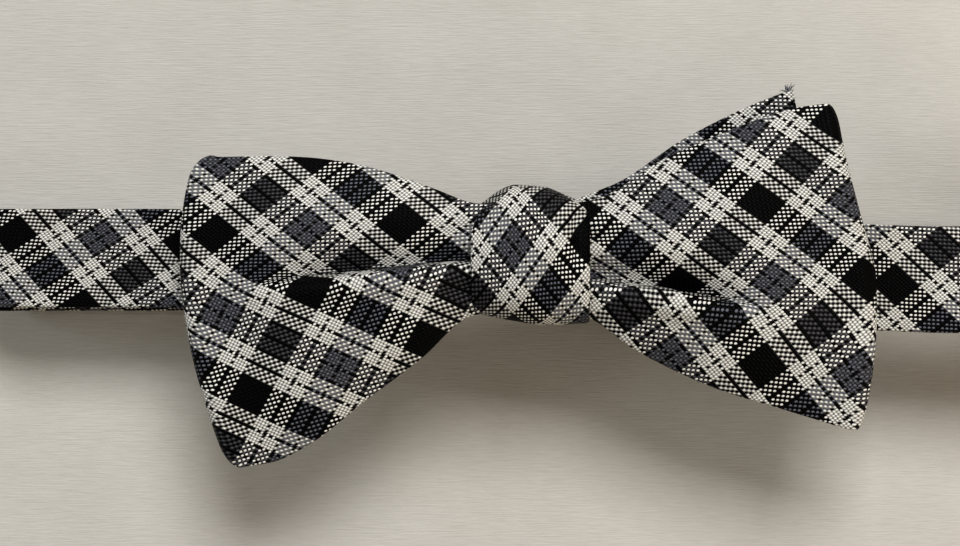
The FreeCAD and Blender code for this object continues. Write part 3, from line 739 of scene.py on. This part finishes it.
def make_knot():
    u = np.linspace(KNOT_U[0], KNOT_U[-1], KNOT_COLUMNS)[None, :]
    first, last = -math.pi / 2 - KNOT_SLIT, -5 * math.pi / 2 + KNOT_SLIT
    angle = np.linspace(first, last, KNOT_ROWS)[:, None]
    side, front = np.cos(angle), np.sin(angle)
    top = spline(KNOT_U, KNOT_TOP, u) - EDGE
    lower = spline(KNOT_U, KNOT_LOW, u) + EDGE
    back_w = KNOT_BACK_W - EDGE
    bulge = 1 - (u / KNOT_EDGE_U) ** 2
    front_w = 10.5 + 1.9 * bulge**0.8
    middle_w, half_w = (front_w + back_w) / 2, (front_w - back_w) / 2
    half_v = (top - lower) / 2
    v = (top + lower) / 2 + half_v * power(side, np.where(front > 0, 0.8, 0.62))
    squareness = np.where(front > 0, 0.93, 0.42)
    w = middle_w + half_w * power(front, squareness)
    facing = np.clip(front, 0, 1) ** 0.5
    pull = u * 0.62 + v * 0.78
    w = w + facing * (0.28 * bump(pull, 3.4, 1.5) - 0.32 * bump(pull, 6.2, 1.2))
    w = w - facing * 0.45 * bump(u, 7.4, 1.0) * smooth(v, -5, 0) * (1 - smooth(v, 5, 8))
    w = w + facing * 0.18 * np.sin(u * 0.8 - v * 0.55)
    lean = smooth(v, 3, 11) * smooth(w, 2, 7)
    leaned = u + lean * (2.3 * smooth(-u, 0, 9.9) - 0.9 * smooth(u, 0, 9.9))
    grid = np.stack(np.broadcast_arrays(leaned, v, w), -1)
    step = np.linalg.norm(np.diff(grid[..., 1:], axis=0), axis=-1)
    run = np.concatenate([np.zeros((1, KNOT_COLUMNS)), np.cumsum(step, axis=0)])
    middle = KNOT_COLUMNS // 2
    centre = np.argmin(np.abs(np.where(front[:, 0] > 0, v[:, middle], 99)))
    upwards = np.sign(v[centre + 5, middle] - v[centre, middle])
    excess = upwards * (run[:, middle] - run[centre, middle]) - (v[:, middle] - v[centre, middle])
    uv = KNOT_LAY(leaned, v + excess[:, None])
    cloth_piece("knot", "knot", "bow", to_row(grid), uv, CLOTH_THICK)


# ------------------------------------------------------------------ neckband and strap

HALF_BAND = BAND_THICK / 2
FOLD = 1.03  # bar radius, play and half the band
FOLD_RADIUS = FOLD - 0.001  # a hair less, so the two arcs of a half turn stay apart
BACK_Z = HALF_BAND
LIFTED_Z = 1.7
EYE_X, HOOK_X, SLIDE_X = -26.0, 6.0, 34.0
SPLIT_X, SEAM_X = 24.0, 68.0
TURN_STEP = 0.22  # radians between the points of an arc
LOOP_END = high("neckband_shell")[0] - HALF_BAND


def rounded_route(corners, spacing=1.6):
    """Points along straight runs joined by arcs; corners are (x, z) or (x, z, radius)."""
    points = [np.array(corners[0][:2], float)]
    for before, corner, after in zip(corners, corners[1:], corners[2:]):
        at = np.array(corner[:2], float)
        radius = corner[2] if len(corner) > 2 else 0
        arriving, leaving = (
            unit(at - np.array(before[:2], float)), unit(np.array(after[:2], float) - at)
        )
        cross = arriving[0] * leaving[1] - arriving[1] * leaving[0]
        turn = math.atan2(cross, float(arriving @ leaving))
        if radius == 0 or abs(turn) < 1e-6:
            points.append(at)
            continue
        setback = radius * math.tan(abs(turn) / 2)
        start = at - arriving * setback
        side = np.array([-arriving[1], arriving[0]]) * math.copysign(1, turn)
        centre = start + side * radius
        for part in np.linspace(0, 1, max(3, int(abs(turn) / TURN_STEP) + 2)):
            angle = turn * part
            spoke = -side * radius
            turned = (
                spoke[0] * math.cos(angle) - spoke[1] * math.sin(angle),
                spoke[0] * math.sin(angle) + spoke[1] * math.cos(angle),
            )
            points.append(centre + turned)
    points.append(np.array(corners[-1][:2], float))
    filled = [points[0]]
    for point in points[1:]:
        gap = np.linalg.norm(point - filled[-1])
        if gap < 1e-4:
            continue
        steps = max(1, int(gap / spacing))
        start = filled[-1]
        filled += [start + (point - start) * (k / steps) for k in range(1, steps + 1)]
    return np.array(filled)


def run_z(x):
    return RUN_MIDDLE_Z + x * math.tan(TILT)


def lengths(route):
    return np.concatenate([[0], np.cumsum(np.linalg.norm(np.diff(route, axis=0), axis=1))])


def strap_grid(route, along, middle_y, wide, columns=19):
    """A strap's grid over a route in the XZ plane, and the thread numbers on it."""
    t = np.linspace(-0.5, 0.5, columns)[None, :]
    middle_y = np.broadcast_to(middle_y, len(route))[:, None]
    wide = np.broadcast_to(wide, len(route))[:, None]
    y = middle_y + t * (wide - BAND_THICK)
    x = np.broadcast_to(route[:, :1], y.shape)
    z = np.broadcast_to(route[:, 1:], y.shape)
    along = np.broadcast_to(along[:, None], y.shape)
    share = smooth(along, -20, 20)
    uv = mixed(BAND_LEFT(along, y - BOW_Y), BAND_RIGHT(along, y - BOW_Y), share)
    return np.stack([x, y, z], -1), uv


def make_neckband():
    """The fixed strap, from its fold round the eye, round the loop, to the slide. Returns how far
    along the strip it ends, counted from the middle of the front run."""
    left_end, right_end = -LOOP_END, LOOP_END
    tail_x = EYE_X - 12
    corners = (
        (tail_x, BACK_Z + 2 * FOLD),
        (EYE_X + FOLD, BACK_Z + 2 * FOLD, FOLD_RADIUS),
        (EYE_X + FOLD, BACK_Z, FOLD_RADIUS),
        (left_end, BACK_Z, 9.0),
        (left_end, run_z(left_end), 8.6),
        (right_end, run_z(right_end), 13.0),
        (right_end, BACK_Z, 13.0),
        (72.0, BACK_Z, 20.0),
        (64.0, LIFTED_Z, 20.0),
        (SPLIT_X, LIFTED_Z),
    )
    route = rounded_route(corners)
    run = lengths(route)
    on_front = (route[:, 1] > 12) & (np.abs(route[:, 0]) < 60)
    middle = np.argmin(np.where(on_front, np.abs(route[:, 0]), 1e9))
    along = run - run[middle] + route[middle, 0]
    on_run = smooth(route[:, 1], 3, 14)
    x = route[:, 0]
    under_right = -2.6 * smooth(x, 46, 62) * (1 - on_run)
    drift = 0.85 * smooth(-x, 14, 80) - 3.1 * smooth(x, 14, 76)
    wide = BAND_WIDE + on_run * (0.75 * smooth(x, 20, 80) - 0.35 * smooth(-x, 20, 80))
    middle_y = BAND_Y + drift * on_run + under_right
    seam = int(np.argmin(np.abs(np.where((route[:, 1] < 6) & (x > 0), x, 1e9) - SEAM_X)))
    grid, uv = strap_grid(route, along, middle_y, wide)
    cut = seam + 1
    cloth_piece("neckband", "neckband", "neckband", grid[:cut], uv[:cut], BAND_THICK)
    tail, core = cloth_piece(
        "neckband_tail", "neckband", None, grid[seam:], uv[seam:], BAND_THICK
    )
    for piece in (tail, core):
        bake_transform(piece)
    return along[-1]


def make_strap_loop(along_start):
    """The doubled strap: out to the hook, round its bar, and back round the slide's raised bar."""
    level = [LIFTED_Z, LIFTED_Z + 2 * FOLD, LIFTED_Z + 4 * FOLD]
    corners = (
        (SPLIT_X, level[0]),
        (HOOK_X - FOLD, level[0], FOLD_RADIUS),
        (HOOK_X - FOLD, level[1], FOLD_RADIUS),
        (SLIDE_X + FOLD, level[1], FOLD_RADIUS),
        (SLIDE_X + FOLD, level[2], FOLD_RADIUS),
        (SLIDE_X - 10, level[2]),
    )
    route = rounded_route(corners, spacing=1.0)
    run = lengths(route)
    on_return = (route[:, 1] > level[0] + FOLD * 1.5) & (route[:, 0] > HOOK_X + 1)
    cut = int(np.argmax(on_return))
    grid, uv = strap_grid(route, along_start + run, BAND_Y, BAND_WIDE)
    out, out_uv = grid[: cut + 1], uv[: cut + 1]
    cloth_piece("strap_to_hook", "strap_loop", "hook_end", out, out_uv, BAND_THICK)
    back, back_core = cloth_piece(
        "strap_to_slide", "strap_loop", None, grid[cut:], uv[cut:], BAND_THICK
    )
    for piece in (back, back_core):
        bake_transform(piece)


# ------------------------------------------------------------------ hardware


def finish_hardware():
    for node in ("eye", "hook", "slide_adjuster"):
        for slot in frame["nodes"][node].material_slots:
            slot.material = NICKEL


# ------------------------------------------------------------------ threads

STITCH = 0.2  # radius of the sewing thread
SINK, RISE = 0.12, 0.2  # how deep a stitch ends in the cloth and how high its middle lies

# node, body, stitches in a row, length of one, height of the row over the node's lowest point
STITCH_ROWS = (
    ("eye_tack_stitches", "neckband", 11, 1.1, 0.0),
    ("slide_tack_stitches", "adjuster", 11, 1.1, 0.0),
    ("label_stitches", "neckband", 6, 1.4, 0.1),
)


def tubes(name, paths, radius, sides=8, closed=False, material=SEWING):
    """Round threads along paths of points, as one piece; u of the UV map runs along each thread."""
    vertices, faces, uv = [], [], []
    for path in paths:
        path = np.asarray(path, float)
        count = len(path)
        if closed:
            tangent = unit(np.roll(path, -1, 0) - np.roll(path, 1, 0))
        else:
            tangent = unit(np.gradient(path, axis=0))
        helper = (0.0, 0.0, 1.0) if abs(tangent[0][2]) < 0.8 else (0.0, 1.0, 0.0)
        first = unit(np.cross(tangent, helper))
        second = np.cross(tangent, first)
        run = np.concatenate([[0], np.cumsum(np.linalg.norm(np.diff(path, axis=0), axis=1))])
        base = len(vertices)
        taper = np.ones(count)
        if not closed:
            taper[0] = taper[-1] = 0.55
        for index in range(count):
            for side in range(sides):
                angle = 2 * math.pi * side / sides
                ring = first[index] * math.cos(angle) + second[index] * math.sin(angle)
                vertices.append(path[index] + ring * radius * taper[index])
                uv.append((run[index], side / sides))
        for index in range(count if closed else count - 1):
            here, there = base + index * sides, base + ((index + 1) % count) * sides
            for side in range(sides):
                after = (side + 1) % sides
                faces.append((here + side, there + side, there + after, here + after))
        if not closed:
            faces.append(tuple(range(base + sides - 1, base - 1, -1)))
            end = base + (count - 1) * sides
            faces.append(tuple(range(end, end + sides)))
    return make_object(name, vertices, faces, uv, material)


def stitch_path(middle, along, outward, length):
    """One stitch: comes out of the cloth, lies on it and goes in again."""
    middle, along, outward = (np.array(item, float) for item in (middle, along, outward))
    part = np.linspace(-1, 1, 7)
    lift = RISE - (RISE + SINK) * np.abs(part) ** 4
    return [middle + along * (p * length / 2) + outward * l for p, l in zip(part, lift)]


def keep_threads(piece, node, body):
    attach(piece, body)
    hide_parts(node)


def make_row_stitches(node, body, count, length, above):
    """Two rows of running stitches along Y on a level layer of the strap."""
    lowest, highest = low(node), high(node)
    paths = [
        stitch_path((x, y, lowest[2] + above), (0, 1, 0), (0, 0, 1), length)
        for x in (lowest[0] + STITCH, highest[0] - STITCH)
        for y in np.linspace(lowest[1] + length / 2, highest[1] - length / 2, count)
    ]
    keep_threads(tubes(node + "_thread", paths, STITCH), node, body)


def in_bow(points):
    return to_row(np.asarray(points, float))


def make_knot_stitches():
    """Slanting whip stitches that close the knot behind the neckband."""
    along = unit(np.array([0.22, 1.0, 0.0]))
    paths = [
        in_bow(stitch_path((u, 0, KNOT_BACK_W - CLOTH_THICK), along, (0, 0, -1), 3.2))
        for u in np.linspace(-8.6, 8.6, 11)
    ]
    keep_threads(tubes("knot_closing_thread", paths, STITCH), "knot_closing_stitches", "bow")


def make_loop_stitches():
    """The stitches that join the two ends of the front loop's cloth."""
    paths = [
        in_bow(stitch_path((0, v, BACK_W + EDGE), (1, 0, 0), (0, 0, 1), 3.0))
        for v in np.linspace(-7.4, 7.4, 9)
    ]
    keep_threads(tubes("loop_end_thread", paths, STITCH), "loop_end_stitches", "bow")


def make_lashing():
    """Turns of thread round the gathered waist, hidden under the knot."""
    angle = np.linspace(0, 2 * math.pi, 72, endpoint=False)
    low_w, high_w = 0.85, 9.45
    half_v, half_w = 9.5, (high_w - low_w) / 2
    squareness = 0.35
    v = half_v * power(np.cos(angle), squareness)
    w = (low_w + high_w) / 2 + half_w * power(np.sin(angle), squareness)
    lean = 0.12 * np.sin(angle)
    paths = [in_bow(np.stack([u + lean, v, w], -1)) for u in np.linspace(-1.9, 1.9, 6)]
    keep_threads(tubes("waist_lashing_thread", paths, 0.24, closed=True), "waist_lashing", "bow")


def make_frayed_corner():
    """Loose ends of thread at the rear piece's upper corner."""
    random = np.random.default_rng(7)
    corner = np.array([REAR_TOP[0][-1] - 0.6, REAR_TOP[1][-1] - 0.7, REAR_W + REAR_LIFT])
    paths = []
    for _ in range(26):
        heading = math.radians(random.uniform(72, 128))
        length = random.uniform(0.7, 1.5) + 0.6 * random.uniform(0, 1) ** 4
        curl = random.uniform(-0.7, 0.7)
        rise = random.uniform(-0.1, 0.5)
        scatter = [random.uniform(-0.7, 0.3), random.uniform(-0.3, 0.2), random.uniform(-0.4, 0.4)]
        start = corner + np.array(scatter)
        path = []
        for part in np.linspace(0, 1, 9):
            angle = heading + curl * part
            heading_now = np.array([math.cos(angle), math.sin(angle), rise * part])
            path.append(start + heading_now * length * part)
        paths.append(in_bow(path))
    tuft = tubes("frayed_corner", paths, 0.05, sides=5, material=LOOSE)
    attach(tuft, "bow")


# ------------------------------------------------------------------ label


def make_label():
    lowest, highest = low("care_label"), high("care_label")
    thickness = highest[2] - lowest[2]
    x = np.linspace(lowest[0], highest[0], 40)[:, None]
    y = np.linspace(lowest[1] + thickness / 2, highest[1] - thickness / 2, 24)[None, :]
    middle_x, middle_y = (lowest[0] + highest[0]) / 2, (lowest[1] + highest[1]) / 2
    held_down = 1 - ((x - middle_x) / (LABEL_LONG / 2)) ** 4
    crown = held_down * (0.16 + 0.1 * np.cos((y - middle_y) / 2.2))
    z = (lowest[2] + highest[2]) / 2 + 0.02 + crown
    grid = np.stack(np.broadcast_arrays(x, y, z), -1)
    uv = np.stack(np.broadcast_arrays(x - middle_x, y - middle_y), -1)
    label = thick_sheet("label", grid, uv, thickness, LABEL_CLOTH)
    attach(label, "neckband")
    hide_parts("care_label")


# ------------------------------------------------------------------ surroundings

VIEW_MIDDLE = (-9.3, 0.9)
VIEW_HEIGHT = 330.0
FRONT_PLANE = 30.0  # height of the bow's front
VIEW_WIDE = 170.9  # what the view takes in at that height
SENSOR = 36.0
FLOOR_HALF = 1.2
WARM = (1.0, 0.9, 0.78)

# name, place and aim in metres, size in metres, power in watts, colour
LIGHTS = (
    ("window", (0.16, 0.79, 1.08), (0, 0, 0), (0.7, 0.5), 12.2, (0.97, 0.98, 1.0)),
    ("side_window", (-1.1, 0.2, 0.75), (0, 0, 0), (0.5, 0.5), 3.0, (0.76, 0.88, 1.0)),
    ("room", (0.75, -0.6, 1.0), (0, 0, 0), (1.3, 1.3), 1.4, WARM),
    ("low_window", (0.45, -0.3, 0.2), (0.03, 0, 0), (0.3, 0.2), 0.7, WARM),
)
ROOM_COLOUR = (1.0, 0.9, 0.77, 1)
ROOM_STRENGTH = 0.2


def make_camera():
    data = bpy.data.cameras.new("camera")
    data.sensor_width = SENSOR
    data.lens = SENSOR * (VIEW_HEIGHT - FRONT_PLANE) / VIEW_WIDE
    data.clip_start, data.clip_end = 0.01, 10
    camera = bpy.data.objects.new("camera", data)
    camera.location = (VIEW_MIDDLE[0] * MM, VIEW_MIDDLE[1] * MM, VIEW_HEIGHT * MM)
    bpy.context.scene.collection.objects.link(camera)
    bpy.context.scene.camera = camera


def make_area_light(name, place, aim, size, power_watts, colour):
    data = bpy.data.lights.new(name, "AREA")
    data.shape, data.size, data.size_y = "RECTANGLE", size[0], size[1]
    data.energy, data.color = power_watts, colour
    light = bpy.data.objects.new(name, data)
    light.location = place
    heading = Vector(aim) - Vector(place)
    light.rotation_euler = heading.to_track_quat("-Z", "Y").to_euler()
    bpy.context.scene.collection.objects.link(light)


def make_surroundings():
    mesh = bpy.data.meshes.new("surface")
    signs = ((-1, -1), (1, -1), (1, 1), (-1, 1))
    mesh.from_pydata([(x * FLOOR_HALF, y * FLOOR_HALF, 0) for x, y in signs], [], [(0, 1, 2, 3)])
    floor = bpy.data.objects.new("surface", mesh)
    bpy.context.scene.collection.objects.link(floor)
    mesh.materials.append(floor_material())
    floor.location.z = -0.0001
    for light in LIGHTS:
        make_area_light(*light)
    world = bpy.data.worlds.new("room")
    world.use_nodes = True
    background = world.node_tree.nodes["Background"]
    background.inputs["Color"].default_value = ROOM_COLOUR
    background.inputs["Strength"].default_value = ROOM_STRENGTH
    bpy.context.scene.world = world
    bpy.context.scene.view_settings.view_transform = "Standard"
    bpy.context.scene.view_settings.look = "High Contrast"


make_camera()
make_front_bow()
make_rear_bow()
make_knot()
make_strap_loop(make_neckband())
finish_hardware()
for row in STITCH_ROWS:
    make_row_stitches(*row)
make_knot_stitches()
make_loop_stitches()
make_lashing()
make_frayed_corner()
make_label()
make_surroundings()
